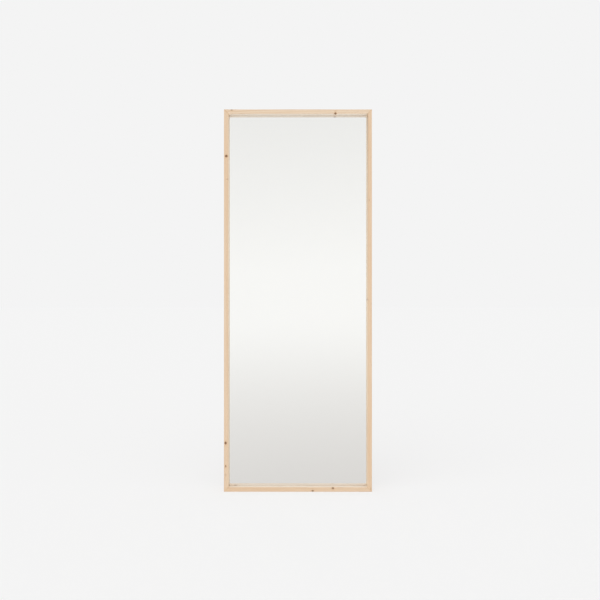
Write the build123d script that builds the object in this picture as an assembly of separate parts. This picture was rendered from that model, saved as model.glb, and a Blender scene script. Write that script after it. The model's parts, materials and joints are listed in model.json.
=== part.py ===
from build123d import *
import os

# Full-length mirror in a mitred pine box frame.
# Millimetres, +Z up, the glass faces -Y. The origin is the middle of the floor
# footprint: half way across the width and half way through the whole depth.

# Driving dimensions of the frame
WIDTH = 600.0
HEIGHT = 1550.0
FACE = 18.0            # width of a frame member seen from the front
FRAME_DEPTH = 45.0     # front face to back face of a member
REVEAL = 27.0          # how far the glass lies behind the front face
RABBET = 6.0           # width of the step that the glass sits in
ARRIS = 1.2            # rounding of the long front edges
BACK_ARRIS = 0.8       # rounding of the long outer back edge

# The stack that fills the rabbet, from front to back
GLASS = 3.0
SILVERING = 0.2
BOARD = 3.0
BOARD_INSET = 0.2      # the board lies this far below the back face
EDGE_GAP = 1.5         # room round the edge of the glass and the board
PAD_EDGE_GAP = 2.5     # room round the edge of the filler pad
SEAMED_EDGE = 0.4      # chamfer on the cut edges of the glass

# Setting blocks under the glass
BLOCK_LENGTH = 40.0
BLOCK_AT_X = 140.0
BLOCK_DEPTH = 6.0

# V-nails driven into each mitre from the back
NAIL_LEG = 3.0
NAIL_SHEET = 0.6
NAIL_DRIVE = 10.0
NAIL_STEPS = (3.5, 8.0)  # from the outer corner, along both members

# Turn buttons that hold the board in
BUTTON_WIDTH = 9.5
BUTTON_REACH = 20.0    # pivot to tip
BUTTON_SHEET = 1.2
BUTTON_LIFT = 0.1      # running gap to the wood below and to the screw head above
BUTTON_TIP = 4.0       # length of the raised finger tip
BUTTON_TIP_RISE = 1.0
BUTTON_HOLE_R = 1.6
STILE_BUTTONS = 4
STILE_BUTTON_ENDS = 150.0  # first and last button, from the frame's ends
RAIL_BUTTON_AT_X = 140.0

# Pan-head wood screws: shank radius, length under the head, head radius and height
BUTTON_SCREW = (1.5, 13.0, 3.1, 2.0)
HANGER_SCREW = (1.75, 17.0, 3.2, 2.0)
SCREW_POINT = 4.0      # length of the tapered point
POINT_SHARE = 0.2      # radius of the blunt point, as a share of the shank's
RIM_SHARE = 0.4        # straight rim of a head, as a share of the head's height
PILOT_GAP = 0.03       # radial gap between a plain shank and its hole
CROSS_LENGTH = 3.4     # cross recess in the head
CROSS_WIDTH = 0.8
CROSS_DEPTH = 1.1

# Strap hangers with a D-ring
WIRE_R = 1.2
RING_HALF = 6.2        # half width of the ring's wire line
RING_CORNER = 2.2
RING_SIDE = 6.8        # bar to the centre of the bow
RING_REST_TILT = 4.5   # the hanging bow rests this many degrees off the strap
STRAP_SHEET = 0.8
STRAP_WIDTH = 8.5
STRAP_LENGTH = 37.0    # ring bar to the rounded end
STRAP_JOGGLE = 5.0     # where the folded-over layer meets the lower one
STRAP_HOLE_R = 1.9
STRAP_HOLES = (19.0, 32.0)  # below the ring bar
BAR_GAP = 0.08         # running gap round the ring's bar
HANGER_FROM_EDGE = 7.7
HANGER_AT_Z = 1240.0

# Rubber bumpers that stand the back off a wall
BUMPER_R = 5.0
BUMPER_HEIGHT = 5.0
BUMPER_ROUND = 1.6
BUMPER_FROM_END = 45.0

# Worked out from the driving dimensions
WALL = FACE - RABBET
NEAR = ARRIS / 10      # a corner this close to a face lies on it
TOTAL_DEPTH = FRAME_DEPTH + BUMPER_HEIGHT
FRONT_Y = -TOTAL_DEPTH / 2
BACK_Y = FRONT_Y + FRAME_DEPTH
GLASS_Y = FRONT_Y + REVEAL
SILVER_Y = GLASS_Y + GLASS
PAD_Y = SILVER_Y + SILVERING
BOARD_Y = BACK_Y - BOARD_INSET - BOARD
MID_Z = HEIGHT / 2
WALL_MIDDLE = WALL / 2
LOOP_INNER_R = WIRE_R + BAR_GAP
LOOP_OUTER_R = LOOP_INNER_R + STRAP_SHEET
BAR_Y = BACK_Y + LOOP_OUTER_R


def sheet_box(edge_gap, y_low, thickness):
    """A flat panel in the rabbet, edge_gap short of the rabbet's wall all round."""
    across = WIDTH - 2 * (WALL + edge_gap)
    up = HEIGHT - 2 * (WALL + edge_gap)
    return Pos(0, y_low + thickness / 2, MID_Z) * Box(across, thickness, up)


def on_back(x, z):
    """A frame on the back face: its local Z points out of the back, local Y up."""
    return Plane(origin=(x, BACK_Y, z), x_dir=(-1, 0, 0), z_dir=(0, 1, 0))


# Frame members

def member(length):
    """A mitred stick lying along X with its outer face on Z = 0."""
    outline = Polyline(
        (0, 0),
        (FACE, 0),
        (FACE, REVEAL),
        (WALL, REVEAL),
        (WALL, FRAME_DEPTH),
        (0, FRAME_DEPTH),
        close=True,
    )
    section = make_face(outline)
    corners = section.vertices()
    front = [v for v in corners if v.Y < NEAR]
    section = fillet(front, ARRIS)
    back = [v for v in section.vertices() if v.X < NEAR and v.Y > FRAME_DEPTH - NEAR]
    section = fillet(back, BACK_ARRIS)
    # local X of this plane runs up from the outer face, local Y from front to back
    end = Plane(origin=(length / 2, FRONT_Y, 0), x_dir=(0, 0, 1), z_dir=(-1, 0, 0))
    stick = extrude(end * section, length)
    trapezium = Polyline(
        (-length / 2, 0),
        (length / 2, 0),
        (length / 2 - FACE, FACE),
        (-length / 2 + FACE, FACE),
        close=True,
    )
    lengthwise = Plane(origin=(0, BACK_Y, 0), x_dir=(1, 0, 0), z_dir=(0, -1, 0))
    return stick & extrude(lengthwise * make_face(trapezium), FRAME_DEPTH)


def frame_members():
    rail = member(WIDTH)
    stile = member(HEIGHT)
    return {
        "bottom_rail": rail,
        "top_rail": Pos(0, 0, HEIGHT) * Rot(0, 180, 0) * rail,
        "left_stile": Pos(-WIDTH / 2, 0, MID_Z) * Rot(0, 90, 0) * stile,
        "right_stile": Pos(WIDTH / 2, 0, MID_Z) * Rot(0, -90, 0) * stile,
    }


def corner_v_nails():
    """Two folded nails in each mitre, their apex on the mitre line."""
    nails = []
    for side in (-1, 1):
        for corner_z, inward in ((0.0, 1), (HEIGHT, -1)):
            for step in NAIL_STEPS:
                apex = Vector(side * (WIDTH / 2 - step), BACK_Y - NAIL_DRIVE / 2, corner_z + inward * step)
                legs = (
                    (-side * (NAIL_LEG - NAIL_SHEET) / 2, 0, NAIL_LEG, NAIL_SHEET),
                    (0, inward * (NAIL_LEG - NAIL_SHEET) / 2, NAIL_SHEET, NAIL_LEG),
                )
                nail = Part()
                for across, up, size_x, size_z in legs:
                    nail += Pos(apex + Vector(across, 0, up)) * Box(size_x, NAIL_DRIVE, size_z)
                nails.append(nail)
    return nails


# Glass, silvering and what presses them forward

def mirror_glass():
    pane = sheet_box(EDGE_GAP, GLASS_Y, GLASS)
    return chamfer(pane.edges(), SEAMED_EDGE)


def glass_setting_blocks():
    low = WALL + EDGE_GAP / 2
    block = Box(BLOCK_LENGTH, BLOCK_DEPTH, EDGE_GAP)
    return [Pos(x, GLASS_Y + BLOCK_DEPTH / 2, low) * block for x in (-BLOCK_AT_X, BLOCK_AT_X)]


# Screws

def pan_screw(shank_r, length, head_r, head_height):
    """A screw along Z with the underside of its head on Z = 0 and its point below."""
    rim = head_height * RIM_SHARE
    rise = head_height - rim
    dome_r = (head_r ** 2 + rise ** 2) / (2 * rise)
    shoulder = (dome_r ** 2 - (head_r / 2) ** 2) ** 0.5 + head_height - dome_r
    side = Polyline(
        (0, head_height),
        (0, -length),
        (shank_r * POINT_SHARE, -length),
        (shank_r, SCREW_POINT - length),
        (shank_r, 0),
        (head_r, 0),
        (head_r, rim),
    )
    dome = ThreePointArc((head_r, rim), (head_r / 2, shoulder), (0, head_height))
    screw = revolve(Plane.XZ * make_face([side, dome]), Axis.Z)
    for turn in (0, 90):
        slot = Rot(0, 0, turn) * Box(CROSS_LENGTH, CROSS_WIDTH, 2 * CROSS_DEPTH)
        screw -= Pos(0, 0, head_height) * slot
    return screw


def pilot_hole(shank_r, length):
    """The clear room for a screw's shank, from Z = 0 down."""
    return Pos(0, 0, -length / 2) * Cylinder(shank_r + PILOT_GAP, length)


# Turn buttons

def turn_button():
    """A flat button with its pivot on the origin, reaching along +X, sheet up from Z = 0."""
    end_r = BUTTON_WIDTH / 2
    plan = SlotCenterToCenter(BUTTON_REACH - end_r, BUTTON_WIDTH)
    plan = Pos((BUTTON_REACH - end_r) / 2, 0) * plan
    bend_x = BUTTON_REACH - BUTTON_TIP
    side = Polyline(
        (-end_r, 0),
        (bend_x, 0),
        (BUTTON_REACH, BUTTON_TIP_RISE),
        (BUTTON_REACH, BUTTON_TIP_RISE + BUTTON_SHEET),
        (bend_x, BUTTON_SHEET),
        (-end_r, BUTTON_SHEET),
        close=True,
    )
    strip = extrude(Plane.XZ * make_face(side), BUTTON_WIDTH / 2, both=True)
    strip &= extrude(plan, BUTTON_TIP_RISE + BUTTON_SHEET)
    return strip - Cylinder(BUTTON_HOLE_R, 4 * BUTTON_SHEET)


def button_places():
    """Name, pivot and the turn that points each button towards the middle of the board.
    A button that isn't turned points along -X."""
    step = (HEIGHT - 2 * STILE_BUTTON_ENDS) / (STILE_BUTTONS - 1)
    places = []
    for i in range(STILE_BUTTONS):
        z = STILE_BUTTON_ENDS + i * step
        places.append((f"turn_button_left_{i + 1}", -WIDTH / 2 + WALL_MIDDLE, z, 180))
        places.append((f"turn_button_right_{i + 1}", WIDTH / 2 - WALL_MIDDLE, z, 0))
    for i, x in enumerate((-RAIL_BUTTON_AT_X, RAIL_BUTTON_AT_X)):
        places.append((f"turn_button_bottom_{i + 1}", x, WALL_MIDDLE, 90))
        places.append((f"turn_button_top_{i + 1}", x, HEIGHT - WALL_MIDDLE, -90))
    return places


# Strap hangers

def hanger_strap(x):
    """A strip of sheet folded round the ring's bar, both layers under the same two screws."""
    loop_top = 2 * LOOP_OUTER_R
    layers = 2 * STRAP_SHEET
    slope = (loop_top - layers) / STRAP_JOGGLE
    slant = (1 + slope ** 2) ** 0.5
    inner_top = loop_top - STRAP_SHEET * slant
    inner_end = (inner_top - STRAP_SHEET) / slope
    # local X runs down from the bar, local Y out of the back
    body = Pos(0, LOOP_OUTER_R) * Circle(LOOP_OUTER_R)
    body += make_face(
        Polyline(
            (0, 0),
            (0, loop_top),
            (STRAP_JOGGLE, layers),
            (STRAP_LENGTH, layers),
            (STRAP_LENGTH, 0),
            close=True,
        )
    )
    body -= Pos(0, LOOP_OUTER_R) * Circle(LOOP_INNER_R)
    body -= make_face(
        Polyline((0, STRAP_SHEET), (0, inner_top), (inner_end, STRAP_SHEET), close=True)
    )
    side = Plane(origin=(x, BACK_Y, HANGER_AT_Z), x_dir=(0, 0, -1), z_dir=(1, 0, 0))
    strap = extrude(side * body, STRAP_WIDTH / 2, both=True)
    end_r = STRAP_WIDTH / 2
    span = STRAP_LENGTH - end_r + LOOP_OUTER_R
    plan = Pos(0, LOOP_OUTER_R - span / 2) * Rectangle(STRAP_WIDTH, span)
    plan += Pos(0, -(STRAP_LENGTH - end_r)) * Circle(end_r)
    back = on_back(x, HANGER_AT_Z)
    strap &= extrude(back * plan, loop_top)
    for below in STRAP_HOLES:
        strap -= back * Pos(0, -below, 0) * Cylinder(STRAP_HOLE_R, 6 * STRAP_SHEET)
    return strap


def d_ring(x):
    """A bent wire: the bar through the strap's loop, two corners, two sides and the bow."""
    bar_half = RING_HALF - RING_CORNER
    bow_mid = -RING_SIDE - RING_HALF
    right_corner = CenterArc((bar_half, -RING_CORNER), RING_CORNER, 90, -90)
    left_corner = CenterArc((-bar_half, -RING_CORNER), RING_CORNER, 180, -90)
    path = Wire(
        [
            Line((-bar_half, 0), (bar_half, 0)),
            right_corner,
            Line((RING_HALF, -RING_CORNER), (RING_HALF, -RING_SIDE)),
            ThreePointArc((RING_HALF, -RING_SIDE), (0, bow_mid), (-RING_HALF, -RING_SIDE)),
            Line((-RING_HALF, -RING_SIDE), (-RING_HALF, -RING_CORNER)),
            left_corner,
        ]
    )
    wire_end = Plane(origin=(-bar_half, 0, 0), z_dir=(1, 0, 0))
    ring = sweep(wire_end * Circle(WIRE_R), path=path)
    # stand the flat ring up behind the mirror, then lift its bow off the strap
    upright = Rot(90 + RING_REST_TILT, 0, 0) * ring
    return Pos(x, BAR_Y, HANGER_AT_Z) * upright


def wall_bumpers():
    pad = Pos(0, 0, BUMPER_HEIGHT / 2) * Cylinder(BUMPER_R, BUMPER_HEIGHT)
    pad = fillet(pad.edges().sort_by(Axis.Z)[-1], BUMPER_ROUND)
    at_x = WIDTH / 2 - WALL_MIDDLE
    return [
        on_back(x, z) * pad
        for x in (-at_x, at_x)
        for z in (BUMPER_FROM_END, HEIGHT - BUMPER_FROM_END)
    ]


def build():
    parts = frame_members()
    nails = corner_v_nails()
    buttons = button_places()
    hanger_x = WIDTH / 2 - HANGER_FROM_EDGE

    button_screw = pan_screw(*BUTTON_SCREW)
    head_seat = 2 * BUTTON_LIFT + BUTTON_SHEET
    button_screws = []
    pilots = []
    for name, x, z, turn in buttons:
        place = on_back(x, z)
        parts[name] = place * Pos(0, 0, BUTTON_LIFT) * Rot(0, 0, turn) * turn_button()
        button_screws.append(place * Pos(0, 0, head_seat) * button_screw)
        pilots.append(place * pilot_hole(BUTTON_SCREW[0], BUTTON_SCREW[1]))

    hanger_screw = pan_screw(*HANGER_SCREW)
    hanger_screws = []
    for side, x in (("left", -hanger_x), ("right", hanger_x)):
        parts[f"{side}_hanger_strap"] = hanger_strap(x)
        parts[f"{side}_d_ring"] = d_ring(x)
        for below in STRAP_HOLES:
            place = on_back(x, HANGER_AT_Z - below)
            hanger_screws.append(place * Pos(0, 0, 2 * STRAP_SHEET) * hanger_screw)
            pilots.append(place * pilot_hole(HANGER_SCREW[0], HANGER_SCREW[1]))

    for name in ("bottom_rail", "top_rail", "left_stile", "right_stile"):
        parts[name] = parts[name] - nails - pilots

    parts["corner_v_nails"] = Compound(children=nails)
    parts["mirror_glass"] = mirror_glass()
    parts["mirror_silvering"] = sheet_box(EDGE_GAP, SILVER_Y, SILVERING)
    parts["glass_setting_blocks"] = Compound(children=glass_setting_blocks())
    parts["filler_pad"] = sheet_box(PAD_EDGE_GAP, PAD_Y, BOARD_Y - PAD_Y)
    parts["backing_board"] = sheet_box(EDGE_GAP, BOARD_Y, BOARD)
    parts["turn_button_screws"] = Compound(children=button_screws)
    parts["hanger_screws"] = Compound(children=hanger_screws)
    parts["wall_bumpers"] = Compound(children=wall_bumpers())
    return parts


def main():
    os.makedirs("parts", exist_ok=True)
    for name, shape in build().items():
        export_step(shape, f"parts/{name}.step")


main()
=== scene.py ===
import json
import math
from collections import namedtuple

import bpy
import numpy as np
from bpy.props import FloatProperty, FloatVectorProperty, IntProperty, PointerProperty
from bpy.types import Operator, Panel, PropertyGroup
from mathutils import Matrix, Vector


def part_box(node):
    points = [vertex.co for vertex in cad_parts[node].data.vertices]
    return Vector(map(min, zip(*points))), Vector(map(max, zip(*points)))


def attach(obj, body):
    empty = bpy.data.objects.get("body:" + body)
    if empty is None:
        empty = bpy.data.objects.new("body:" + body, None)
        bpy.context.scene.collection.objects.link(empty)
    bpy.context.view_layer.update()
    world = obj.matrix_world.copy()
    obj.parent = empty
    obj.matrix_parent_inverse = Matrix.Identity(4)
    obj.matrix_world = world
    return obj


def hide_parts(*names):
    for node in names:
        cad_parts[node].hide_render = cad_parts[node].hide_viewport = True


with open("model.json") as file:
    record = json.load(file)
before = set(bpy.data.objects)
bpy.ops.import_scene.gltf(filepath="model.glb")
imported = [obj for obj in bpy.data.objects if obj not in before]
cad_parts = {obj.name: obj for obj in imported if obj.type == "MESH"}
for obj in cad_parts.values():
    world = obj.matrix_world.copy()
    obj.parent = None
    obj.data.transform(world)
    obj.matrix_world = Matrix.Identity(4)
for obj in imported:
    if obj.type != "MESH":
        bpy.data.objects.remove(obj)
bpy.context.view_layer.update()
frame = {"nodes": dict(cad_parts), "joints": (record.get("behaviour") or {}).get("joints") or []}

bl_info = {
    "name": "Pine full-length mirror",
    "version": (1, 0, 0),
    "blender": (4, 5, 0),
    "location": "3D View > Sidebar > Mirror",
    "description": "Dresses the packed mirror: pine members, silvered pane, closed back and its hardware",
    "category": "Object",
}

MM = 0.001
FULL_TURN = 2 * math.pi
QUARTER_TURN = math.pi / 2


def srgb(red, green, blue):
    """A display colour of 0 to 255 per channel, as linear light by the sRGB curve."""
    shown = np.array([red, green, blue]) / 255.0
    low = shown / 12.92
    high = ((shown + 0.055) / 1.055) ** 2.4
    return tuple(float(c) for c in np.where(shown <= 0.04045, low, high))


def size_prop(name, description, metres):
    """A length, given in metres."""
    return FloatProperty(name=name, description=description, default=metres, unit="LENGTH", precision=5)


def mm_prop(name, description, millimetres):
    """A length, given in millimetres and kept in metres."""
    return size_prop(name, description, millimetres * MM)


def number_prop(name, description, default):
    """A plain number from 0 up."""
    return FloatProperty(name=name, description=description, default=default, min=0.0)


def angle_prop(name, description, degrees):
    """An angle, given in degrees and kept in radians."""
    return FloatProperty(name=name, description=description, default=math.radians(degrees), subtype="ANGLE")


def colour_prop(name, description, default):
    """A colour in linear light."""
    return FloatVectorProperty(
        name=name, description=description, default=default, subtype="COLOR", size=3, min=0.0, max=1.0
    )


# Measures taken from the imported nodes

STILE_LOW, STILE_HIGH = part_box("left_stile")
RAIL_LOW, RAIL_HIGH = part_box("bottom_rail")
GLASS_LOW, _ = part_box("mirror_glass")
BOARD_LOW, BOARD_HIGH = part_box("backing_board")
WIDTH = RAIL_HIGH.x - RAIL_LOW.x
HEIGHT = STILE_HIGH.z - STILE_LOW.z
FACE = RAIL_HIGH.z - RAIL_LOW.z
DEPTH = RAIL_HIGH.y - RAIL_LOW.y
FRONT_Y = RAIL_LOW.y
REVEAL = GLASS_LOW.y - FRONT_Y
# room between the pane's edge and the rabbet, and the wood outside the rabbet
EDGE_GAP = 1.5 * MM
WALL = GLASS_LOW.z - RAIL_LOW.z - EDGE_GAP


# Settings

class PineSettings(PropertyGroup):
    """Sizes and colours of the four pine members"""

    arris: mm_prop("Front arris", "Rounding of the long front edges", 1.2)
    back_arris: mm_prop("Back arris", "Rounding of the long outer back edge", 0.8)
    inner_arris: mm_prop("Rabbet arris", "Rounding of the edges inside the rabbet", 0.35)
    mitre_gap: mm_prop("Mitre gap", "Half the hairline between two mitred ends", 0.05)
    mitre_ease: mm_prop("Mitre easing", "How far sanding has rounded the mitred ends", 0.3)
    stain_width: mm_prop("Stain width", "How far glue has stained the wood beside a mitre", 9.0)
    joint_width: mm_prop("Joint width", "How far a mitre's dark line reaches into the wood", 0.9)
    planing: mm_prop("Planing waves", "Depth of the long waves left by planing", 0.06)
    nick: mm_prop("Arris nicks", "Depth of the largest nick in a front arris", 0.35)
    knot_crack: mm_prop("Knot crack", "Depth of the crack round a dark knot", 0.16)
    knot_dish: mm_prop("Knot dish", "How far sanding has dished a knot's heart", 0.08)
    knot_ring: mm_prop("Knot rings", "Distance between the rings inside a knot", 0.9)
    ring_spacing: mm_prop("Ring spacing", "Mean distance between growth rings", 2.6)
    pith_wander: mm_prop("Pith wander", "How far the growth rings stray from a straight log", 16.0)
    # these two set painted shade along the inner front arris: how far it reaches over the face, and the
    # length over which it thins out downwards from the upper end
    arris_shade_width: mm_prop("Bark side width", "How far the bark side reaches over the face", 3.4)
    arris_shade_run: size_prop("Bark side run", "Length along which the bark side thins out", 0.45)
    fibre_relief: mm_prop("Fibre relief", "Height of the fibres left by sanding", 0.06)
    earlywood: colour_prop("Earlywood", "Pale wood between the ring lines", srgb(242, 219, 192))
    latewood: colour_prop("Latewood", "Darker wood of the ring lines", srgb(216, 173, 128))
    warm_tone: colour_prop("Warm tone", "Colour that drifts along a member", srgb(231, 193, 154))
    # the two reveal colours are painted light: the paler, greyer wood beside the glass stands in for light
    # reaching the recess and the sheen on it
    stile_painted_light: colour_prop("Stile reveal", "Paler wood beside the glass on a stile", srgb(255, 236, 204))
    rail_painted_light: colour_prop("Rail reveal", "Paler wood beside the glass on a rail", srgb(253, 243, 228))
    knot: colour_prop("Knot", "Heart of a knot", srgb(122, 78, 46))
    knot_rim: colour_prop("Knot rim", "Bark line round a knot", srgb(74, 46, 28))
    # grey brown colour of the painted shade along the inner front arris
    arris_shade_colour: colour_prop("Bark side", "Grey brown of the wood just under the bark", srgb(112, 92, 78))
    glue_stain: colour_prop("Glue stain", "Warm stain beside a glued mitre", srgb(231, 190, 140))
    varnish: number_prop("Varnish", "Weight of the clear matt coat", 0.40)
    varnish_rough: number_prop("Varnish roughness", "Roughness of the clear matt coat", 0.22)


class PaneSettings(PropertyGroup):
    """Finish of the silvered glass"""

    tint: colour_prop("Glass tint", "Colour of light that has crossed the pane", (0.988, 0.990, 0.988))
    bend: number_prop("Glass index", "Refractive index of the float glass", 1.52)
    silver: colour_prop("Silver", "Colour of the reflecting coat", (0.955, 0.953, 0.951))
    thin_silver: colour_prop("Thin silver", "Colour where the coat is thinner", (0.80, 0.81, 0.80))
    bond: mm_prop("Bond", "How far the coat reaches into the glass, so that no air lies between", 0.04)


class BackSettings(PropertyGroup):
    """Finish of the back: board, filler, rubber and steel"""

    board_edge: mm_prop("Board edge", "Rounding of the board's sawn edges", 0.4)
    screen_pitch: mm_prop("Screen pitch", "Mesh of the screen printed into the board's back", 2.4)
    board: colour_prop("Hardboard", "Main colour of the pressed board", srgb(150, 108, 70))
    board_dark: colour_prop("Hardboard fibre", "Darker fibres in the board", srgb(104, 70, 43))
    card: colour_prop("Filler card", "Colour of the corrugated filler", srgb(196, 160, 116))
    flute_pitch: mm_prop("Flute pitch", "Distance between the filler's flutes", 7.0)
    zinc: colour_prop("Zinc plate", "Colour of the plated steel", srgb(204, 206, 208))
    zinc_dull: colour_prop("Dull zinc", "Colour of the duller patches in the plating", srgb(172, 174, 172))
    rubber: colour_prop("Rubber", "Colour of the bumpers and setting blocks", srgb(44, 43, 42))
    rubber_bloom: colour_prop("Rubber bloom", "Grey bloom on the rubber", srgb(96, 94, 91))
    bumper_radius: mm_prop("Bumper radius", "Radius of a bumper's foot", 5.0)
    bumper_height: mm_prop("Bumper height", "How far a bumper stands off the frame", 5.0)
    bumper_draft: mm_prop("Bumper draft", "How much narrower its rim is than its foot", 0.35)
    bumper_round: mm_prop("Bumper rim", "Rounding of its rim", 1.5)
    bumper_dish: mm_prop("Bumper dish", "Depth of the dish in its face", 0.5)


class ButtonSettings(PropertyGroup):
    """Sizes of a turn button"""

    reach: mm_prop("Reach", "Pivot to tip", 20.0)
    width: mm_prop("Width", "Across the button", 9.5)
    sheet: mm_prop("Sheet", "Thickness of the steel", 1.2)
    hole: mm_prop("Hole radius", "Radius of the pivot hole", 1.6)
    tip: mm_prop("Finger tip", "Length of the raised tip", 4.0)
    tip_rise: mm_prop("Tip rise", "How far the tip is raised", 1.0)
    edge: mm_prop("Edge rounding", "Rounding of the tumbled edges", 0.35)
    burr: mm_prop("Hole burr", "Bevel round the pivot hole", 0.12)
    steps: IntProperty(name="Steps", description="Points round a button's outline", default=96, min=24)


class StageSettings(PropertyGroup):
    """Camera, floor and light"""

    distance: size_prop("Camera distance", "Camera to the front face", 2.7)
    span: size_prop("Frame span", "Width that the picture covers at the front face", 2.432)
    rise: size_prop("Camera rise", "Camera above the middle of the mirror", 0.04)
    left: size_prop("Mirror to the left", "How far the mirror stands left of the picture's middle", 0.0083)
    lower: size_prop("Mirror lower", "How far the mirror stands below the picture's middle", 0.0023)
    floor_half: size_prop("Floor half", "Half the floor's width", 30.0)
    floor: colour_prop("Floor", "Colour of the matt floor", (0.97, 0.97, 0.97))
    floor_lift: number_prop("Floor lift", "Evens the lit floor up to the backdrop", 1.024)
    # painted shade on the glowing floor that glass and metal see, at the mirror's foot
    floor_foot_shade: colour_prop("Floor foot", "Floor that glass sees at the mirror's foot", srgb(217, 215, 212))
    floor_fade: size_prop("Floor fade", "Distance over which the mirrored floor brightens", 3.4)
    floor_skew: number_prop("Floor skew", "How much nearer the mirrored floor seems, per step right", 0.28)
    lean: number_prop("Studio lean", "How much the mirrored studio climbs per step right", 0.08)
    shadow: number_prop("Shadow", "Share of the shadow that shows on the floor", 0.35)
    backdrop: colour_prop("Backdrop", "Colour of the plain background", srgb(244, 244, 244))
    eye_level: colour_prop("Eye level", "Studio that glass and metal see ahead", srgb(247, 247, 245))
    ceiling: colour_prop("Ceiling", "Studio that glass and metal see above them", srgb(235, 235, 233))
    level_below: number_prop("Level", "Climb at which the studio starts to dim", 0.03)
    ceiling_above: number_prop("Overhead", "Climb at which it is dimmest", 0.26)
    mirrored: number_prop("Mirrored", "Strength of what glass and metal see", 1.065)
    fill: number_prop("Fill", "Light on matt surfaces from all round", 0.80)
    lamp: number_prop("Lamp", "Strength of the soft key lamp", 0.5)
    lamp_spread: angle_prop("Lamp spread", "Angle that the key lamp fills", 70)
    lamp_tilt: angle_prop("Lamp tilt", "How far the key lamp leans from straight down", 52)
    lamp_turn: angle_prop("Lamp turn", "How far round the key lamp stands from the front", -28)


# Mesh helpers

ARC_STEPS = 6
EDGE_ARC = 5
PANEL_STEP = 0.05


def add_object(name, data):
    """An object at the origin of the scene."""
    made = bpy.data.objects.new(name, data)
    bpy.context.scene.collection.objects.link(made)
    return made


def wear(piece, material):
    """Gives an object one material on all its faces."""
    piece.data.materials.clear()
    piece.data.materials.append(material)


def make_piece(name, node, body, surface, material, fields=None):
    """A mesh object at the origin that stands for a node, whose imported part it hides, and rides on a body.
    Its quads are smooth, and a larger face, which closes an end or a side, stays flat. Fields are numbers
    for each point that its material reads."""
    points, faces = surface
    mesh = bpy.data.meshes.new(name)
    mesh.from_pydata(points.reshape(-1, 3).tolist(), [], faces)
    for key, values in (fields or {}).items():
        layer = mesh.attributes.new(key, "FLOAT", "POINT")
        layer.data.foreach_set("value", np.ascontiguousarray(values, dtype=np.float32).ravel())
    corners = np.array([len(face) for face in faces])
    mesh.polygons.foreach_set("use_smooth", corners <= 4)
    mesh.update()
    piece = add_object(name, mesh)
    wear(piece, material)
    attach(piece, body)
    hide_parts(node)


def grid_points(x, y, z):
    """Points from their coordinates, which are spread over one grid."""
    return np.stack(np.broadcast_arrays(x, y, z), axis=-1)


def grid_faces(rows, columns, close_rows, flip):
    """Quads over a rows x columns grid of points. Columns always close on themselves."""
    row = np.arange(rows if close_rows else rows - 1)[:, None]
    column = np.arange(columns)
    next_row = (row + 1) % rows
    next_column = (column + 1) % columns
    corners = [(row, column), (row, next_column), (next_row, next_column), (next_row, column)]
    quads = np.stack([r * columns + c for r, c in corners], axis=-1).reshape(-1, 4)
    return (quads[:, ::-1] if flip else quads).tolist()


def capped_faces(rows, columns, flip):
    """Quads over a grid of points, with one flat face that closes its first row and one its last."""
    first = list(range(columns))
    last = [(rows - 1) * columns + i for i in range(columns)]
    caps = [first, last[::-1]] if flip else [first[::-1], last]
    return grid_faces(rows, columns, False, flip) + caps


def joined(surfaces):
    """Several (points, faces) surfaces as one."""
    counts = np.cumsum([0] + [points.size // 3 for points, _ in surfaces])
    faces = [[i + start for i in face] for (_, own), start in zip(surfaces, counts) for face in own]
    return np.concatenate([points.reshape(-1, 3) for points, _ in surfaces]), faces


def quarter_round(radius, count):
    """A quarter circle between two sides, from the second to the first: how far each point lies in from
    the first side and how far in from the second."""
    turn = np.linspace(0.0, QUARTER_TURN, count)
    return radius * (1 - np.sin(turn)), radius * (1 - np.cos(turn))


def smooth_step(share):
    """A rise from 0 to 1 that starts and ends level."""
    return share * share * (3 - 2 * share)


def rounded_outline(corners, step):
    """Points round a polygon of right angles: each side is cut into steps, each corner is a quarter
    circle of its own radius. Also gives a weight of 1 on the rounded corners and 0 on the sides."""
    spots = np.array([c[:2] for c in corners])
    radii = np.array([c[2] for c in corners])
    along = np.roll(spots, -1, axis=0) - spots
    length = np.linalg.norm(along, axis=1)
    along = along / length[:, None]
    turn = np.linspace(0.0, QUARTER_TURN, ARC_STEPS + 1)[:, None]
    points = []
    weights = []
    for i, spot in enumerate(spots):
        before = along[i - 1]
        after = along[i]
        radius = radii[i]
        centre = spot - radius * before + radius * after
        points.append(centre - radius * after * np.cos(turn) + radius * before * np.sin(turn))
        weights.append(np.ones(len(turn)))
        following = radii[(i + 1) % len(radii)]
        run = length[i] - radius - following
        parts = max(2, math.ceil(run / step))
        share = np.arange(1, parts)[:, None] / parts
        points.append(spot + after * (radius + run * share))
        weights.append(np.zeros(parts - 1))
    return np.concatenate(points), np.concatenate(weights)


def outline_normals(points):
    """Unit vectors across a closed outline, on the right hand of its direction."""
    along = np.roll(points, -1, axis=0) - np.roll(points, 1, axis=0)
    along = along / np.linalg.norm(along, axis=1, keepdims=True)
    return np.stack([along[:, 1], -along[:, 0]], axis=1)


def panel(low, high, radius):
    """A flat board: the half-round profile of its edge carried round the rectangle of its outline,
    with one flat face closing each side."""
    middle = (low + high) / 2
    half = (high - low) / 2
    spots = [(half.x, -half.z), (half.x, half.z), (-half.x, half.z), (-half.x, -half.z)]
    outline, _ = rounded_outline([(x, z, 2 * radius) for x, z in spots], PANEL_STEP)
    outward = outline_normals(outline)
    inset, drop = quarter_round(radius, EDGE_ARC)
    rise = half.y - drop
    inset = np.concatenate([inset, inset[::-1]])
    rise = np.concatenate([rise, -rise[::-1]])
    flat = outline - outward * inset[:, None, None]
    points = grid_points(middle.x + flat[..., 0], middle.y + rise[:, None], middle.z + flat[..., 1])
    return points, capped_faces(*points.shape[:2], False)


# Material helpers

# sockets of a Mix node in its colour mode
MIX_SHARE, MIX_FIRST, MIX_SECOND, MIX_RESULT = 0, 6, 7, 2


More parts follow.
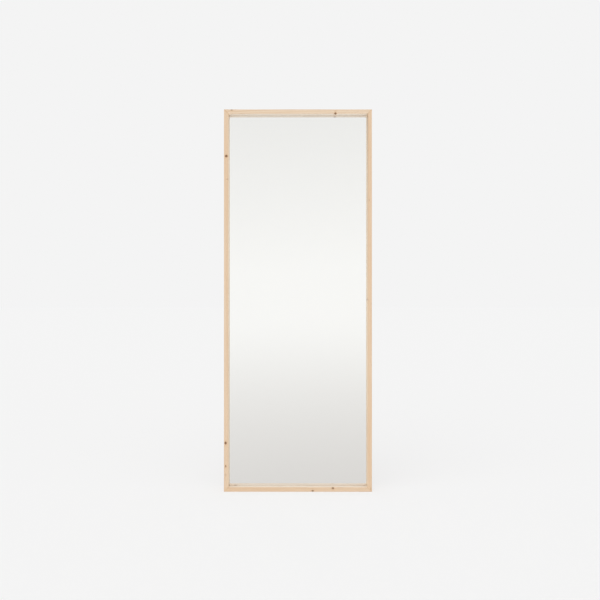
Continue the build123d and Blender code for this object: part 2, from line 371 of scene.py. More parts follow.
class Wiring:
    """Short hand for wiring the nodes of one tree."""

    def __init__(self, tree):
        self.tree = tree
        tree.nodes.clear()

    def node(self, kind, **settings):
        made = self.tree.nodes.new(kind)
        for key, value in settings.items():
            setattr(made, key, value)
        return made

    def put(self, socket, value):
        """Links a socket, or sets a plain value."""
        if isinstance(value, bpy.types.NodeSocket):
            self.tree.links.new(value, socket)
        elif socket.type == "RGBA":
            socket.default_value = tuple(value)[:3] + (1.0,)
        else:
            socket.default_value = value

    def fed(self, made, *values, **named):
        """A node with its first inputs filled in order, and others by name."""
        for socket, value in zip(made.inputs, values):
            self.put(socket, value)
        for name, value in named.items():
            self.put(made.inputs[name.replace("_", " ")], value)
        return made

    def math(self, operation, *values):
        return self.fed(self.node("ShaderNodeMath", operation=operation), *values).outputs[0]

    def times(self, first, second, plus=0.0):
        """first * second + plus"""
        return self.math("MULTIPLY_ADD", first, second, plus)

    def vector(self, operation, *values):
        made = self.fed(self.node("ShaderNodeVectorMath", operation=operation), *values)
        return made.outputs["Value" if operation == "LENGTH" else "Vector"]

    def split(self, vector):
        return tuple(self.fed(self.node("ShaderNodeSeparateXYZ"), vector).outputs)

    def join(self, x, y, z=0.0):
        return self.fed(self.node("ShaderNodeCombineXYZ"), x, y, z).outputs[0]

    def noise(self, vector, scale, detail=2.0, rough=0.5, output="Fac"):
        made = self.node("ShaderNodeTexNoise")
        return self.fed(made, vector, Scale=scale, Detail=detail, Roughness=rough).outputs[output]

    def ease(self, value, low, high, to_low=0.0, to_high=1.0, curve="SMOOTHSTEP"):
        """A step from to_low to to_high as value goes from low to high."""
        made = self.node("ShaderNodeMapRange", interpolation_type=curve)
        return self.fed(made, value, low, high, to_low, to_high).outputs[0]

    def mix(self, share, first, second, blend="MIX"):
        made = self.node("ShaderNodeMix", data_type="RGBA", blend_type=blend)
        self.put(made.inputs[MIX_SHARE], share)
        self.put(made.inputs[MIX_FIRST], first)
        self.put(made.inputs[MIX_SECOND], second)
        return made.outputs[MIX_RESULT]

    def attribute(self, name):
        return self.node("ShaderNodeAttribute", attribute_name=name).outputs["Fac"]

    def light(self, kind, colour, strength=1.0):
        """A Background or Emission shader."""
        return self.fed(self.node(kind), colour, strength).outputs[0]

    def choose(self, share, first, second):
        """One shader, or by a share a second one."""
        return self.fed(self.node("ShaderNodeMixShader"), share, first, second).outputs[0]


class Shade(Wiring):
    """A material round one Principled shader."""

    def __init__(self, name):
        self.material = bpy.data.materials.new(name)
        self.material.use_nodes = True
        super().__init__(self.material.node_tree)
        self.surface = self.node("ShaderNodeBsdfPrincipled")
        self.output = self.node("ShaderNodeOutputMaterial")
        self.fed(self.output, Surface=self.surface.outputs["BSDF"])
        self.place = self.node("ShaderNodeTexCoord").outputs["Object"]

    def bump(self, height, distance, strength):
        made = self.fed(self.node("ShaderNodeBump"), Height=height, Distance=distance, Strength=strength)
        self.fed(self.surface, Normal=made.outputs[0])

    def finish(self, colour, roughness, metallic=0.0, specular=0.5):
        self.fed(self.surface, colour, metallic, roughness, Specular_IOR_Level=specular)
        return self.material


# Pine members

# A knot's place along the stick and in from its outer edge at the front face, its size across and along
# the stick, how dark it is, and how far its axis leans inwards for each step back
Knot = namedtuple("Knot", "along inward across length dark lean")
# Where a member's outer edge lies on the axis across it, and which way along that axis is inwards
OUTER_EDGES = {
    "left_stile": (-WIDTH / 2, 1.0),
    "right_stile": (WIDTH / 2, -1.0),
    "top_rail": (HEIGHT, -1.0),
    "bottom_rail": (0.0, 1.0),
}


class Member(namedtuple("Member", "node pith tone pale seed knots wane", defaults=(0.0,))):
    """One stick of the frame: its node, where its pith line runs, how warm its tone is, how much painted
    light lifts its reveal, where its knots are, and how dark the painted shade is that lies along its inner
    front arris at the upper end. Distances along a stick are from its left or lower end."""

    @property
    def upright(self):
        return self.node.endswith("stile")

    @property
    def length(self):
        return HEIGHT if self.upright else WIDTH

    @property
    def turned_over(self):
        """True where place() mirrors the section, so that faces have to run the other way."""
        return self.upright == (OUTER_EDGES[self.node][1] < 0)

    def place(self, along, inward, deep):
        """Points in the shared frame from the distances along the stick, in from its outer edge and
        back from its front face."""
        edge, way = OUTER_EDGES[self.node]
        across = edge + way * inward
        y = FRONT_Y + deep
        if self.upright:
            return grid_points(across, y, along)
        return grid_points(along - WIDTH / 2, y, across)


MEMBERS = (
    Member("left_stile", pith=(0.041, 0.030), tone=0.30, painted_light_share=0.70, seed=11, knots=(
        Knot(1.3606, 0.0095, 0.0050, 0.0046, 1.00, -0.12),
        Knot(1.2668, 0.0150, 0.0028, 0.0040, 0.22, -0.30),
        Knot(0.1975, 0.0066, 0.0042, 0.0052, 1.00, 0.10),
        Knot(0.1032, 0.0068, 0.0030, 0.0038, 0.70, 0.15),
        Knot(0.0680, 0.0056, 0.0040, 0.0046, 0.16, 0.10),
    )),
    Member("right_stile", pith=(-0.026, 0.052), tone=0.62, painted_light_share=1.00, seed=23, knots=(
        Knot(0.7790, 0.0195, 0.0032, 0.0046, 0.45, -0.25),
        Knot(1.1832, 0.0119, 0.0026, 0.0034, 0.22, 0.10),
        Knot(0.0120, 0.0048, 0.0028, 0.0042, 0.22, 0.10),
    ), painted_arris_shade=0.65),
    Member("top_rail", pith=(0.030, 0.070), tone=0.0, painted_light_share=0.78, seed=37, knots=(
        Knot(0.0315, 0.0010, 0.0036, 0.0044, 0.60, 0.28),
        Knot(0.4520, 0.0171, 0.0043, 0.0041, 1.00, -0.30),
    )),
    Member("bottom_rail", pith=(-0.022, 0.046), tone=0.42, painted_light_share=0.82, seed=41, knots=(
        Knot(0.3595, 0.0036, 0.0032, 0.0040, 0.80, 0.08),
        Knot(0.4417, 0.0147, 0.0042, 0.0042, 0.80, -0.45),
        Knot(0.0440, 0.0342, 0.0026, 0.0068, 0.48, -0.60),
        Knot(0.5715, 0.0342, 0.0022, 0.0060, 0.28, -0.60),
    )),
)

# Steps along a stick and round its section, and the closer points at a mitre, where their distance then
# widens, and beside a knot: the first, the last and their number
STATION_STEP = 6.0 * MM
SECTION_STEP = 1.5 * MM
MITRE_POINTS = (0.0, 1.2 * MM, 9)
WIDENING_POINTS = (1.3 * MM, 30.0 * MM, 18)
KNOT_POINTS = (-16.0 * MM, 16.0 * MM, 33)
# Planing: the number of sine waves, the range of their lengths and their shift in phase with depth
WAVES = 4
WAVE_LENGTHS = (0.11, 0.43)
WAVE_SHIFT = 60.0
# Nicks: their number on a member, their distance from its ends and the range of their widths and depths
NICKS = 22
NICK_MARGIN = 0.02
NICK_WIDTHS = (0.0012, 0.0060)
NICK_DEPTHS = (0.1, 1.0)
# widths of the crack round a knot and of its dished heart, in shares of its radius
CRACK_WIDTH = 0.12
HEART_WIDTH = 0.6


def member_stations(member):
    """Shares of the way from one mitre to the other: even steps, closer at the ends and the knots."""
    even = np.linspace(0.0, 1.0, int(member.length / STATION_STEP))
    ends = np.concatenate([np.linspace(*MITRE_POINTS), np.geomspace(*WIDENING_POINTS)]) / member.length
    knots = [(knot.along + np.linspace(*KNOT_POINTS)) / member.length for knot in member.knots]
    shares = np.concatenate([even, ends, 1.0 - ends] + knots)
    return np.unique(np.clip(shares, 0.0, 1.0).round(6))


def planing_waves(rng, along, deep):
    """From 0 to 1: the mean of a few sine waves of random length and phase."""
    phase = rng.uniform(0.0, FULL_TURN, WAVES)
    pitch = rng.uniform(*WAVE_LENGTHS, WAVES)
    waves = sum(np.sin(FULL_TURN * along / p + q + WAVE_SHIFT * deep) for p, q in zip(pitch, phase))
    return (1 + waves / WAVES) / 2


def arris_nicks(rng, along, length):
    """From 0 to 1: bell curves of random place, width and depth, added up along an arris."""
    spots = rng.uniform(NICK_MARGIN, length - NICK_MARGIN, NICKS)
    width = rng.uniform(*NICK_WIDTHS, NICKS)
    depth = rng.uniform(*NICK_DEPTHS, NICKS) ** 2
    return (depth * np.exp(-(((along[..., None] - spots) / width) ** 2))).sum(axis=-1)


def knot_hollow(knot, along, inward, deep, settings):
    """Depth of a knot's crack, a bell curve on its outline, and of its dished heart, one at its middle."""
    across = (inward - knot.inward - knot.lean * deep) / knot.across
    far = np.hypot((along - knot.along) / knot.length, across)
    crack = np.exp(-(((far - 1.0) / CRACK_WIDTH) ** 2))
    heart = np.exp(-((far / HEART_WIDTH) ** 2))
    return knot.dark * (settings.knot_crack * crack + settings.knot_dish * heart)


def member_surface(member, settings):
    """The stick's L-shaped section carried along its length. A point that lies u in from the outer
    edge runs from u to length - u, which makes both mitres. Planing waves, arris nicks, eased
    mitres and knot cracks sink the surface along the section's normal, never raise it."""
    rng = np.random.default_rng(member.seed)
    section = [
        (0.0, 0.0, settings.arris),
        (FACE, 0.0, settings.arris),
        (FACE, REVEAL, settings.inner_arris),
        (WALL, REVEAL, settings.inner_arris),
        (WALL, DEPTH, settings.inner_arris),
        (0.0, DEPTH, settings.back_arris),
    ]
    outline, arris = rounded_outline(section, SECTION_STEP)
    outward = outline_normals(outline)
    inward, deep = outline.T
    shares = member_stations(member)[:, None]
    start = inward + settings.mitre_gap
    along = start + shares * (member.length - 2 * start)

    sink = settings.planing * planing_waves(rng, along, deep)
    front_edge = arris * (deep < 2 * settings.arris)
    sink = sink + settings.nick * arris_nicks(rng, along, member.length) * front_edge
    reveal = np.where(inward > FACE - settings.arris, np.clip(deep / settings.arris, 0.0, 1.0), 0.0)
    to_mitre = np.minimum(shares, 1 - shares) * member.length
    sink = sink + (1 - reveal) * settings.mitre_ease * np.exp(-to_mitre / settings.mitre_ease)
    for knot in member.knots:
        sink = sink + knot_hollow(knot, along, inward, deep, settings)

    points = member.place(along, inward - sink * outward[:, 0], deep - sink * outward[:, 1])
    faces = capped_faces(*along.shape, member.turned_over)
    fields = {"arris": arris, "reveal": reveal, "to_mitre": to_mitre}
    return (points, faces), {key: np.broadcast_to(field, along.shape) for key, field in fields.items()}


# A pattern in the wood: its stretch along the stick and over the section, then its noise's scale, detail
# and roughness
Pattern = namedtuple("Pattern", "along across scale detail rough")
WANDER = Pattern(0.9, 9.0, 1.6, 2.0, 0.45)
DRIFT = Pattern(1.0, 14.0, 3.1, 2.0, 0.5)
STREAK = Pattern(0.02, 1.0, 520.0, 2.0, 0.5)
FIBRE = Pattern(0.012, 1.0, 2600.0, 3.0, 0.6)
# metres of pattern between one member's wood and the next one's
LANE_STEP = 3.7
# Knots: how ragged the outline is, how far and how much the growth rings swell round it, and where its
# heart, rim and halo begin and end, all in shares of its radius
RAGGED = 0.36
SWELL_REACH = 1.9
SWELL = 1.5
HEART_EDGE = (0.80, 1.05)
RIM_START = (0.84, 0.97)
RIM_END = (1.0, 1.14)
HALO_EDGE = (0.9, 3.0)
# Growth rings: how many rings the spacing strays by, and where in a ring the latewood comes and goes
RING_STRAY = 1.4
LATE_START = (0.35, 0.90)
LATE_END = (0.94, 1.0)
# how far a member's tone strays to both sides, and how far the core of the painted arris shade reaches
TONE_STRAY = 0.30
ARRIS_SHADE_CORE = 0.8 * MM
# how strongly each of these colours the wood
TONE_SHARE = 0.55
STREAK_SHARE = 0.35
HALO_SHARE = 0.42
RIM_SHARE = 0.85
HEART_RING_SHARE = 0.32
ARRIS_SHARE = 0.10
STAIN_SHARE = 0.28
JOINT_SHARE = 0.25

Stick = namedtuple("Stick", "along inward deep")
KnotMasks = namedtuple("KnotMasks", "heart rim halo rings")


def stick_place(s, member):
    """Distances along the stick, in from its outer edge and back from its front face."""
    x, y, z = s.split(s.place)
    deep = s.math("SUBTRACT", y, FRONT_Y)
    along, across = (z, x) if member.upright else (s.math("ADD", x, WIDTH / 2), z)
    edge, way = OUTER_EDGES[member.node]
    return Stick(along, s.times(across, way, -way * edge), deep)


def wood_pattern(s, lane, pattern, output="Fac"):
    """Noise drawn out along the stick."""
    stretch = (pattern.along, pattern.across, pattern.across)
    return s.noise(s.vector("MULTIPLY", lane, stretch), pattern.scale, pattern.detail, pattern.rough, output)


def pith_radius(s, member, stick, lane, settings):
    """Distance from the pith line, which wanders as it runs along the stick."""
    stray = s.vector("SUBTRACT", wood_pattern(s, lane, WANDER, "Color"), (0.5, 0.5, 0.5))
    push = s.vector("MULTIPLY", stray, (settings.pith_wander, settings.pith_wander, 0.0))
    sideways = s.math("SUBTRACT", stick.inward, member.pith[0])
    back = s.math("SUBTRACT", stick.deep, member.pith[1])
    return s.vector("LENGTH", s.vector("ADD", s.join(sideways, back), push))


def knot_marks(s, member, stick, radius, settings):
    """The pith radius swollen round every knot by exp(-(distance / reach) ** 2), and masks of the knots'
    hearts, rims and halos and of the rings inside them."""
    ragged = s.times(s.noise(s.place, scale=420.0), RAGGED, -RAGGED / 2)
    hearts = rims = halos = rings = 0.0
    for knot in member.knots:
        size = (knot.across + knot.length) / 2
        beside = s.math("SUBTRACT", stick.inward, knot.inward)
        across = s.math("DIVIDE", s.times(stick.deep, -knot.lean, beside), knot.across)
        run = s.math("DIVIDE", s.math("SUBTRACT", stick.along, knot.along), knot.length)
        smooth = s.vector("LENGTH", s.join(run, across))
        far = s.math("ADD", smooth, ragged)
        squared = s.math("POWER", s.math("DIVIDE", smooth, SWELL_REACH), 2.0)
        swell = s.math("EXPONENT", s.times(squared, -1.0))
        radius = s.times(swell, SWELL * size, radius)
        heart = s.ease(far, *HEART_EDGE, to_low=knot.dark, to_high=0.0)
        rim_end = s.ease(far, *RIM_END, to_low=knot.dark, to_high=0.0)
        rim = s.times(s.ease(far, *RIM_START), rim_end)
        halo = s.ease(smooth, *HALO_EDGE, to_low=knot.dark, to_high=0.0)
        wave = s.math("SINE", s.times(far, FULL_TURN * size / settings.knot_ring))
        hearts = s.math("MAXIMUM", hearts, heart)
        rims = s.math("MAXIMUM", rims, rim)
        halos = s.math("MAXIMUM", halos, halo)
        rings = s.times(wave, s.math("CEIL", heart), rings)
    return radius, KnotMasks(hearts, rims, halos, rings)


def latewood_lines(s, run, radius, settings):
    """Where the dark line of each growth ring lies: it comes slowly, goes sharply, and is stronger in
    some rings than in others."""
    turns = s.math("DIVIDE", radius, settings.ring_spacing)
    stray = s.noise(s.join(s.times(run, 0.2), turns), scale=0.55, detail=1.0)
    turns = s.times(stray, RING_STRAY, turns)
    ring = s.math("FRACT", turns)
    late = s.times(s.ease(ring, *LATE_START), s.ease(ring, *LATE_END, to_low=1.0, to_high=0.0))
    own = s.noise(s.join(s.times(run, 0.6), s.math("FLOOR", turns)), scale=1.7, detail=1.0)
    return s.times(late, s.ease(own, 0.25, 0.75, to_low=0.35))


def painted_arris_shade_mask(s, member, stick, settings):
    """The strip of painted shade on the inner front arris, darkest at the upper end and thinning out
    downwards.
    """
    corner = s.join(s.math("SUBTRACT", FACE, stick.inward), s.times(stick.deep, 0.25))
    beside = s.ease(s.vector("LENGTH", corner), ARRIS_SHADE_CORE, settings.arris_shade_width, member.painted_arris_shade, 0.0)
    below = s.math("DIVIDE", s.math("SUBTRACT", stick.along, member.length), settings.arris_shade_run)
    return s.times(beside, s.math("EXPONENT", below))


def pine_shade(member, settings):
    """Knotty pine cut from the log: growth rings round a pith line that runs along the stick, pushed
    aside by the knots, with long fibres, a drifting tone and dark hearts in the knots."""
    s = Shade("pine_" + member.node + "_wood")
    stick = stick_place(s, member)
    run = s.math("ADD", stick.along, member.seed * LANE_STEP)
    lane = s.join(run, stick.inward, stick.deep)
    radius = pith_radius(s, member, stick, lane, settings)
    radius, knots = knot_marks(s, member, stick, radius, settings)
    late = latewood_lines(s, run, radius, settings)
    fibre = wood_pattern(s, lane, FIBRE)
    streak = wood_pattern(s, lane, STREAK)
    drift = wood_pattern(s, lane, DRIFT)
    reveal = s.attribute("reveal")

    colour = s.mix(late, settings.earlywood, settings.latewood)
    # painted light on the reveal beside the glass, strongest on the right stile, whose reveal faces the lamp
    reveal_light_colour = settings.stile_painted_light if member.upright else settings.rail_painted_light
    colour = s.mix(s.times(reveal, member.painted_light_share), colour, reveal_light_colour)
    cool = max(0.0, member.tone - TONE_STRAY)
    warm = min(1.0, member.tone + TONE_STRAY)
    toned = s.times(s.ease(drift, 0.25, 0.75, cool, warm), TONE_SHARE)
    colour = s.mix(toned, colour, settings.warm_tone)
    colour = s.mix(s.ease(streak, 0.56, 0.82, to_high=STREAK_SHARE), colour, settings.latewood)
    light = s.ease(fibre, 0.30, 0.70, to_low=0.93, to_high=1.04)
    colour = s.mix(1.0, colour, s.join(light, light, light), "MULTIPLY")

    colour = s.mix(s.times(knots.halo, HALO_SHARE), colour, settings.latewood)
    in_rings = s.ease(knots.rings, -1.0, 1.0, to_high=HEART_RING_SHARE)
    colour = s.mix(knots.heart, colour, s.mix(in_rings, settings.knot, settings.latewood))
    colour = s.mix(s.times(knots.rim, RIM_SHARE), colour, settings.knot_rim)

    colour = s.mix(s.times(s.attribute("arris"), ARRIS_SHARE), colour, settings.warm_tone)
    # painted shade along the right stile's inner front arris, darkest by the top rail and fading downwards
    if member.painted_arris_shade:
        colour = s.mix(painted_arris_shade_mask(s, member, stick, settings), colour, settings.arris_shade_colour)
    to_mitre = s.attribute("to_mitre")
    outside = s.math("SUBTRACT", 1.0, reveal)
    stain = s.ease(to_mitre, 0.0, settings.stain_width, STAIN_SHARE, 0.0)
    colour = s.mix(s.times(outside, stain), colour, settings.glue_stain)
    joint = s.ease(to_mitre, 0.0, settings.joint_width, JOINT_SHARE, 0.0)
    colour = s.mix(s.times(outside, joint), colour, settings.knot)

    rough = s.times(late, -0.06, s.times(fibre, 0.16, 0.44))
    relief = s.times(fibre, 0.5, s.times(late, 0.35))
    s.bump(relief, settings.fibre_relief, strength=0.5)
    s.fed(s.surface, Coat_Weight=settings.varnish, Coat_Roughness=settings.varnish_rough)
    return s.finish(colour, rough, specular=0.35)


class MIRROR_OT_pine_members(Operator):
    """Carries the pine section along the four mitred members and colours each from its own log"""

    bl_idname = "mirror.pine_members"
    bl_label = "Pine members"

    def execute(self, context):
        settings = context.scene.mirror_pine
        for member in MEMBERS:
            surface, fields = member_surface(member, settings)
            wood = pine_shade(member, settings)
            make_piece("pine_" + member.node, member.node, "frame", surface, wood, fields)
        return {"FINISHED"}


# Silvered pane

def glass_shade(settings):
    """Clear float glass with a hint of unevenness in its polish."""
    s = Shade("float_glass")
    haze = s.noise(s.place, scale=3.0, detail=1.0)
    s.fed(s.surface, Transmission_Weight=1.0, IOR=settings.bend)
    return s.finish(settings.tint, s.ease(haze, 0.2, 0.8, to_high=0.004))


def silver_shade(settings):
    """Bright silver, a trace darker where the coat is thinner."""
    s = Shade("silver_coat")
    thin = s.ease(s.noise(s.place, scale=2.0), 0.3, 0.7, to_high=0.02)
    return s.finish(s.mix(thin, settings.silver, settings.thin_silver), 0.0, metallic=1.0)


class MIRROR_OT_silvered_pane(Operator):
    """Gives the pane its clear glass and the coat behind it its silver"""

    bl_idname = "mirror.silvered_pane"
    bl_label = "Silvered pane"

    def execute(self, context):
        settings = context.scene.mirror_pane
        wear(frame["nodes"]["mirror_glass"], glass_shade(settings))
        low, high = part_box("mirror_silvering")
        low.y -= settings.bond
        coat = panel(low, high, settings.bond)
        make_piece("silver_coat", "mirror_silvering", "frame", coat, silver_shade(settings))
        return {"FINISHED"}


# Closed back

# steps of a bumper's rim, dish and circle, and how much of the way to its middle the dish goes on sinking
RIM_STEPS = 9
DISH_STEPS = 7
BUMPER_SIDES = 64
DISH_RUN = 0.8


def hardboard_shade(settings):
    """Pressed fibre board: cloudy brown with fine matted fibres, a few dark specks and the print of the
    wire screen that it was pressed on."""
    s = Shade("hardboard")
    cloud = s.noise(s.place, scale=9.0, detail=3.0, rough=0.6)
    matted = s.noise(s.place, scale=640.0, detail=4.0, rough=0.65)
    drawn_out = s.vector("MULTIPLY", s.place, (0.25, 1.0, 1.0))
    strand = s.noise(drawn_out, scale=900.0, rough=0.6)
    speck = s.noise(s.place, scale=260.0, detail=1.0)
    x, _, z = s.split(s.place)
    pitch = FULL_TURN / settings.screen_pitch
    screen = s.times(s.math("SINE", s.times(x, pitch)), s.math("SINE", s.times(z, pitch)))

    clouded = s.ease(cloud, 0.3, 0.7, to_high=0.16)
    share = s.math("ADD", clouded, s.ease(matted, 0.35, 0.75, to_high=0.40))
    colour = s.mix(share, settings.board, settings.board_dark)
    colour = s.mix(s.ease(strand, 0.62, 0.75, to_high=0.35), colour, settings.card)
    colour = s.mix(s.ease(speck, 0.70, 0.76, to_high=0.6), colour, settings.board_dark)
    colour = s.mix(s.ease(screen, -0.9, 0.4, to_low=0.22, to_high=0.0), colour, settings.board_dark)
    fuzz = s.math("ADD", matted, strand)
    s.bump(s.times(screen, 0.8, fuzz), distance=0.08 * MM, strength=0.6)
    return s.finish(colour, s.times(matted, 0.25, 0.42), specular=0.4)


def card_shade(settings):
    """Corrugated card: flutes that show as faint bands, with recycled flecks."""
    s = Shade("filler_card")
    x, _, _ = s.split(s.place)
    flute = s.math("SINE", s.times(x, FULL_TURN / settings.flute_pitch))
    fleck = s.noise(s.place, scale=500.0, detail=3.0)
    colour = s.mix(s.ease(fleck, 0.45, 0.75, to_high=0.5), settings.card, settings.board)
    s.bump(s.times(flute, 0.5, fleck), distance=0.1 * MM, strength=0.5)
    return s.finish(colour, s.times(fleck, 0.1, 0.8), specular=0.2)


def rubber_shade(settings):
    """Moulded rubber with a fine bloom on it."""
    s = Shade("bumper_rubber")
    bloom = s.noise(s.place, scale=700.0, detail=3.0)
    colour = s.mix(s.ease(bloom, 0.4, 0.8, to_high=0.35), settings.rubber, settings.rubber_bloom)
    s.bump(bloom, distance=0.05 * MM, strength=0.4)
    return s.finish(colour, s.times(bloom, 0.2, 0.55), specular=0.35)


def bumper_surface(foot, settings):
    """A moulded bumper: its profile, a drafted side, a rounded rim and a shallow dish, turned about the Y
    axis through its foot, with one flat face closing the foot and one the dish."""
    radius = settings.bumper_radius
    shoulder = radius - settings.bumper_draft
    short, inset = quarter_round(settings.bumper_round, RIM_STEPS)
    dish = np.linspace(0.0, 1.0, DISH_STEPS)[1:]
    dish_radius = shoulder - settings.bumper_round
    radii = np.concatenate([[radius], shoulder - inset, dish_radius * (1 - DISH_RUN * dish)])
    sunk = settings.bumper_dish * smooth_step(dish)
    heights = settings.bumper_height - np.concatenate([[settings.bumper_height], short, sunk])
    angle = np.arange(BUMPER_SIDES) / BUMPER_SIDES * FULL_TURN
    x = foot[0] + radii[:, None] * np.cos(angle)
    z = foot[2] + radii[:, None] * np.sin(angle)
    points = grid_points(x, foot[1] + heights[:, None], z)
    return points, capped_faces(*points.shape[:2], True)


def bumper_feet(settings):
    """The middle of each bumper's foot, from the box round all four."""
    low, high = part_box("wall_bumpers")
    inset = settings.bumper_radius
    return [(x, low.y, z) for x in (low.x + inset, high.x - inset) for z in (low.z + inset, high.z - inset)]


class MIRROR_OT_closed_back(Operator):
    """Lays the hardboard in the rabbet, moulds the bumpers and finishes the filler and setting blocks"""

    bl_idname = "mirror.closed_back"
    bl_label = "Closed back"

    def execute(self, context):
        settings = context.scene.mirror_back
        board = panel(BOARD_LOW, BOARD_HIGH, settings.board_edge)
        make_piece("hardboard_back", "backing_board", "frame", board, hardboard_shade(settings))
        wear(frame["nodes"]["filler_pad"], card_shade(settings))
        rubber = rubber_shade(settings)
        wear(frame["nodes"]["glass_setting_blocks"], rubber)
        bumpers = joined([bumper_surface(foot, settings) for foot in bumper_feet(settings)])
        make_piece("rubber_bumpers", "wall_bumpers", "frame", bumpers, rubber)
        return {"FINISHED"}


# Steel hardware

PLATED_NODES = (
    "corner_v_nails",
    "turn_button_screws",
    "hanger_screws",
    "left_hanger_strap",
    "right_hanger_strap",
    "left_d_ring",
    "right_d_ring",
)
# steps over a button's flat, and the shares of its width between which they lie
FLAT_STEPS = 8
FLAT_ENDS = (0.12, 0.88)


def zinc_shade(settings):
    """Bright zinc plate, made once: crystalline patches, rolling marks and fine scuffs."""
    made = bpy.data.materials.get("zinc_plate")
    if made:
        return made
    s = Shade("zinc_plate")
    patch = s.noise(s.place, scale=230.0)
    scuff = s.noise(s.vector("MULTIPLY", s.place, (1.0, 1.0, 9.0)), scale=900.0, detail=3.0)
    colour = s.mix(s.ease(patch, 0.35, 0.65), settings.zinc, settings.zinc_dull)
    patch_rough = s.ease(patch, 0.3, 0.7, to_low=0.24, to_high=0.36)
    s.bump(scuff, distance=0.02 * MM, strength=0.4)
    return s.finish(colour, s.times(scuff, 0.10, patch_rough), metallic=1.0)


def button_surface(pivot, reach_way, settings):
    """A turn button as a closed ring. Its outline is two half circles and their tangents, and along the
    ray from the pivot to each point of it lies one section: a strip of sheet with rounded outer edges and
    a burred pivot hole. The tip rises by a smooth step of the distance from the pivot."""
    end = settings.width / 2
    span = settings.reach - end
    turn = (np.arange(settings.steps) + 0.5) / settings.steps * FULL_TURN
    rim = np.stack([end * np.cos(turn) + np.where(np.cos(turn) > 0, span, 0.0), end * np.sin(turn)], axis=1)
    ray = rim / np.linalg.norm(rim, axis=1, keepdims=True)
    width = np.linalg.norm(rim, axis=1) - settings.hole

    # a section point lies share * width + offset in from the rim, at its level above the underside
    rounding, lift = quarter_round(settings.edge, EDGE_ARC)
    flat = np.linspace(*FLAT_ENDS, FLAT_STEPS)
    flat_offset = settings.edge * (1 - flat)
    burr = settings.burr
    top = settings.sheet
    outer = np.concatenate([rounding, rounding[::-1]])
    hole = np.array([-burr, 0.0, 0.0, -burr])
    share = np.concatenate([np.zeros(len(outer)), flat, np.ones(len(hole)), flat[::-1]])
    offset = np.concatenate([outer, flat_offset, hole, flat_offset[::-1]])
    over = np.full(FLAT_STEPS, top)
    under = np.zeros(FLAT_STEPS)
    level = np.concatenate([lift, top - lift[::-1], over, [top, top - burr, burr, 0.0], under])

    inset = share[:, None] * width + offset[:, None]
    out, aside = np.moveaxis(rim - ray * inset[..., None], -1, 0)
    step = np.clip((out - settings.reach + settings.tip) / settings.tip, 0.0, 1.0)
    y = pivot[1] + level[:, None] + settings.tip_rise * smooth_step(step)
    x = pivot[0] + out * reach_way[0] - aside * reach_way[1]
    z = pivot[2] + out * reach_way[1] + aside * reach_way[0]
    return grid_points(x, y, z), grid_faces(*out.shape, True, True)


class MIRROR_OT_turn_buttons(Operator):
    """Makes the swivelling buttons that hold the board in, each on its own body"""

    bl_idname = "mirror.turn_buttons"
    bl_label = "Turn buttons"

    def execute(self, context):
        settings = context.scene.mirror_button
        zinc = zinc_shade(context.scene.mirror_back)
        for joint in frame["joints"]:
            if not joint["name"].startswith("turn_button"):
                continue
            node = joint["name"].removesuffix("_turn")
            low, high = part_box(node)
            x, _, z = joint["pos_m"]
            middle = (low + high) / 2
            way = np.array([middle.x - x, middle.z - z])
            way = np.round(way / np.linalg.norm(way))
            button = button_surface((x, low.y, z), way, settings)
            make_piece("steel_" + node, node, joint["child"], button, zinc)
        return {"FINISHED"}


class MIRROR_OT_steel_hardware(Operator):
    """Plates the screws, nails, strap hangers and rings"""

    bl_idname = "mirror.steel_hardware"
    bl_label = "Steel hardware"

    def execute(self, context):
        zinc = zinc_shade(context.scene.mirror_back)
        for name in PLATED_NODES:
            wear(frame["nodes"][name], zinc)
        return {"FINISHED"}


# Stage

SENSOR_MM = 36.0
# the painted shade at the mirrored floor's foot is drawn out sideways, because the mirror stands along X
FOOT_STRETCH = 0.35


def room_light(scene, settings):
    """Plain backdrop colour to the camera, an even fill to matt surfaces, and to glass and metal a soft
    studio that is brightest at eye level and falls off evenly towards the ceiling."""
    scene.world = bpy.data.worlds.new("studio")
    scene.world.use_nodes = True
    w = Wiring(scene.world.node_tree)
    x, _, z = w.split(w.node("ShaderNodeTexCoord").outputs["Generated"])
    climb = w.times(x, -settings.lean, z)
    overhead = w.ease(climb, settings.level_below, settings.ceiling_above, curve="LINEAR")
    studio = w.mix(overhead, settings.eye_level, settings.ceiling)
    mirrored = w.light("ShaderNodeBackground", studio, settings.mirrored)
    fill = w.light("ShaderNodeBackground", (1.0, 1.0, 1.0), settings.fill)
    seen = w.light("ShaderNodeBackground", settings.backdrop)
    path = w.node("ShaderNodeLightPath").outputs
    around = w.choose(path["Is Diffuse Ray"], mirrored, fill)
    w.fed(w.node("ShaderNodeOutputWorld"), Surface=w.choose(path["Is Camera Ray"], around, seen))


def floor_shade(settings):
    """Pale matt floor. The camera sees the backdrop's colour with the shadow on it. Glass and metal see
    a glowing floor with painted shade that darkens towards the foot of the mirror as exp(-distance / fade)."""
    s = Shade("studio_floor")
    s.finish(settings.floor, 1.0, specular=0.0)
    x, y, _ = s.split(s.place)
    away = s.vector("LENGTH", s.join(s.times(x, FOOT_STRETCH), s.times(x, settings.floor_skew, y)))
    near = s.math("EXPONENT", s.math("DIVIDE", away, -settings.floor_fade))
    shown = s.mix(near, settings.eye_level, settings.floor_foot_shade)
    mirrored = s.light("ShaderNodeEmission", shown, settings.mirrored)
    seen = s.light("ShaderNodeEmission", settings.backdrop, settings.floor_lift)
    path = s.node("ShaderNodeLightPath").outputs
    bright = s.math("MAXIMUM", path["Is Glossy Ray"], path["Is Transmission Ray"])
    polished = s.choose(bright, s.surface.outputs["BSDF"], mirrored)
    direct = s.times(path["Is Camera Ray"], 1.0 - settings.shadow)
    s.fed(s.output, Surface=s.choose(direct, polished, seen))
    return s.material


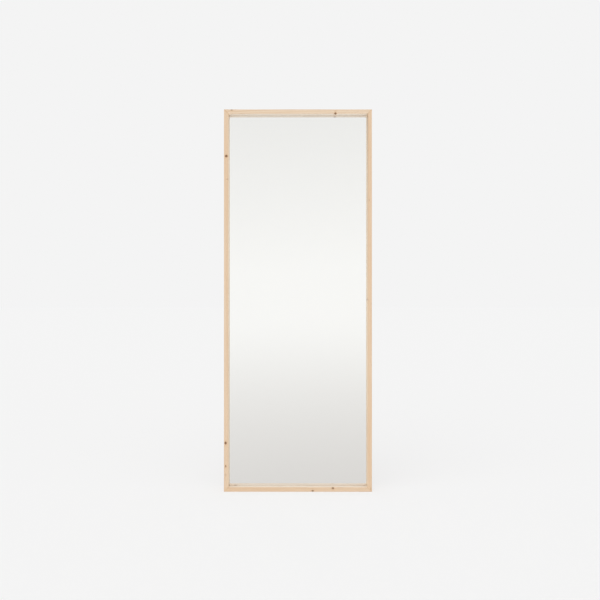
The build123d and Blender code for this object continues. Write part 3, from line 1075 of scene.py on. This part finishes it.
def lay_floor(settings):
    """One flat square, the same distance from the mirror to every side."""
    half = settings.floor_half
    mesh = bpy.data.meshes.new("studio_floor")
    corners = [(-half, -half, 0.0), (half, -half, 0.0), (half, half, 0.0), (-half, half, 0.0)]
    mesh.from_pydata(corners, [], [(0, 1, 2, 3)])
    floor = add_object("studio_floor", mesh)
    wear(floor, floor_shade(settings))


def hang_lamp(settings):
    """A wide soft sun from the upper left front, which glass and metal do not show."""
    lamp = bpy.data.lights.new("soft_key", "SUN")
    lamp.energy = settings.lamp
    lamp.angle = settings.lamp_spread
    key = add_object("soft_key", lamp)
    key.rotation_euler = (settings.lamp_tilt, 0.0, settings.lamp_turn)
    key.visible_glossy = False
    key.visible_transmission = False


def set_camera(scene, settings):
    """Square on to the front, shifted so that the mirror stands where the picture has it."""
    camera = bpy.data.cameras.new("camera")
    camera.sensor_width = SENSOR_MM
    camera.lens = SENSOR_MM * settings.distance / settings.span
    camera.shift_x = settings.left / settings.span
    camera.shift_y = (settings.lower - settings.rise) / settings.span
    eye = add_object("camera", camera)
    eye.location = (0.0, FRONT_Y - settings.distance, HEIGHT / 2 + settings.rise)
    eye.rotation_euler = (QUARTER_TURN, 0.0, 0.0)
    scene.camera = eye


class MIRROR_OT_stage(Operator):
    """Sets up the floor, the soft light and the camera"""

    bl_idname = "mirror.stage"
    bl_label = "Stage"

    def execute(self, context):
        scene = context.scene
        settings = scene.mirror_stage
        scene.view_settings.view_transform = "Standard"
        # keeps the light that reaches the recess by way of the pane
        scene.cycles.blur_glossy = 0.0
        room_light(scene, settings)
        lay_floor(settings)
        hang_lamp(settings)
        set_camera(scene, settings)
        return {"FINISHED"}


class MIRROR_PT_panel(Panel):
    """Lists the steps that dress the mirror"""

    bl_idname = "MIRROR_PT_panel"
    bl_label = "Pine mirror"
    bl_space_type = "VIEW_3D"
    bl_region_type = "UI"
    bl_category = "Mirror"

    def draw(self, context):
        for step in STEPS:
            self.layout.operator(step.bl_idname)


STEPS = (
    MIRROR_OT_pine_members,
    MIRROR_OT_silvered_pane,
    MIRROR_OT_closed_back,
    MIRROR_OT_turn_buttons,
    MIRROR_OT_steel_hardware,
    MIRROR_OT_stage,
)
SETTINGS = {
    "mirror_pine": PineSettings,
    "mirror_pane": PaneSettings,
    "mirror_back": BackSettings,
    "mirror_button": ButtonSettings,
    "mirror_stage": StageSettings,
}


def register():
    for name, group in SETTINGS.items():
        bpy.utils.register_class(group)
        setattr(bpy.types.Scene, name, PointerProperty(type=group))
    for step in STEPS:
        bpy.utils.register_class(step)
    bpy.utils.register_class(MIRROR_PT_panel)


def unregister():
    bpy.utils.unregister_class(MIRROR_PT_panel)
    for step in reversed(STEPS):
        bpy.utils.unregister_class(step)
    for name, group in SETTINGS.items():
        delattr(bpy.types.Scene, name)
        bpy.utils.unregister_class(group)


def main():
    register()
    bpy.ops.mirror.pine_members()
    bpy.ops.mirror.silvered_pane()
    bpy.ops.mirror.closed_back()
    bpy.ops.mirror.turn_buttons()
    bpy.ops.mirror.steel_hardware()
    bpy.ops.mirror.stage()


if __name__ == "__main__":
    main()
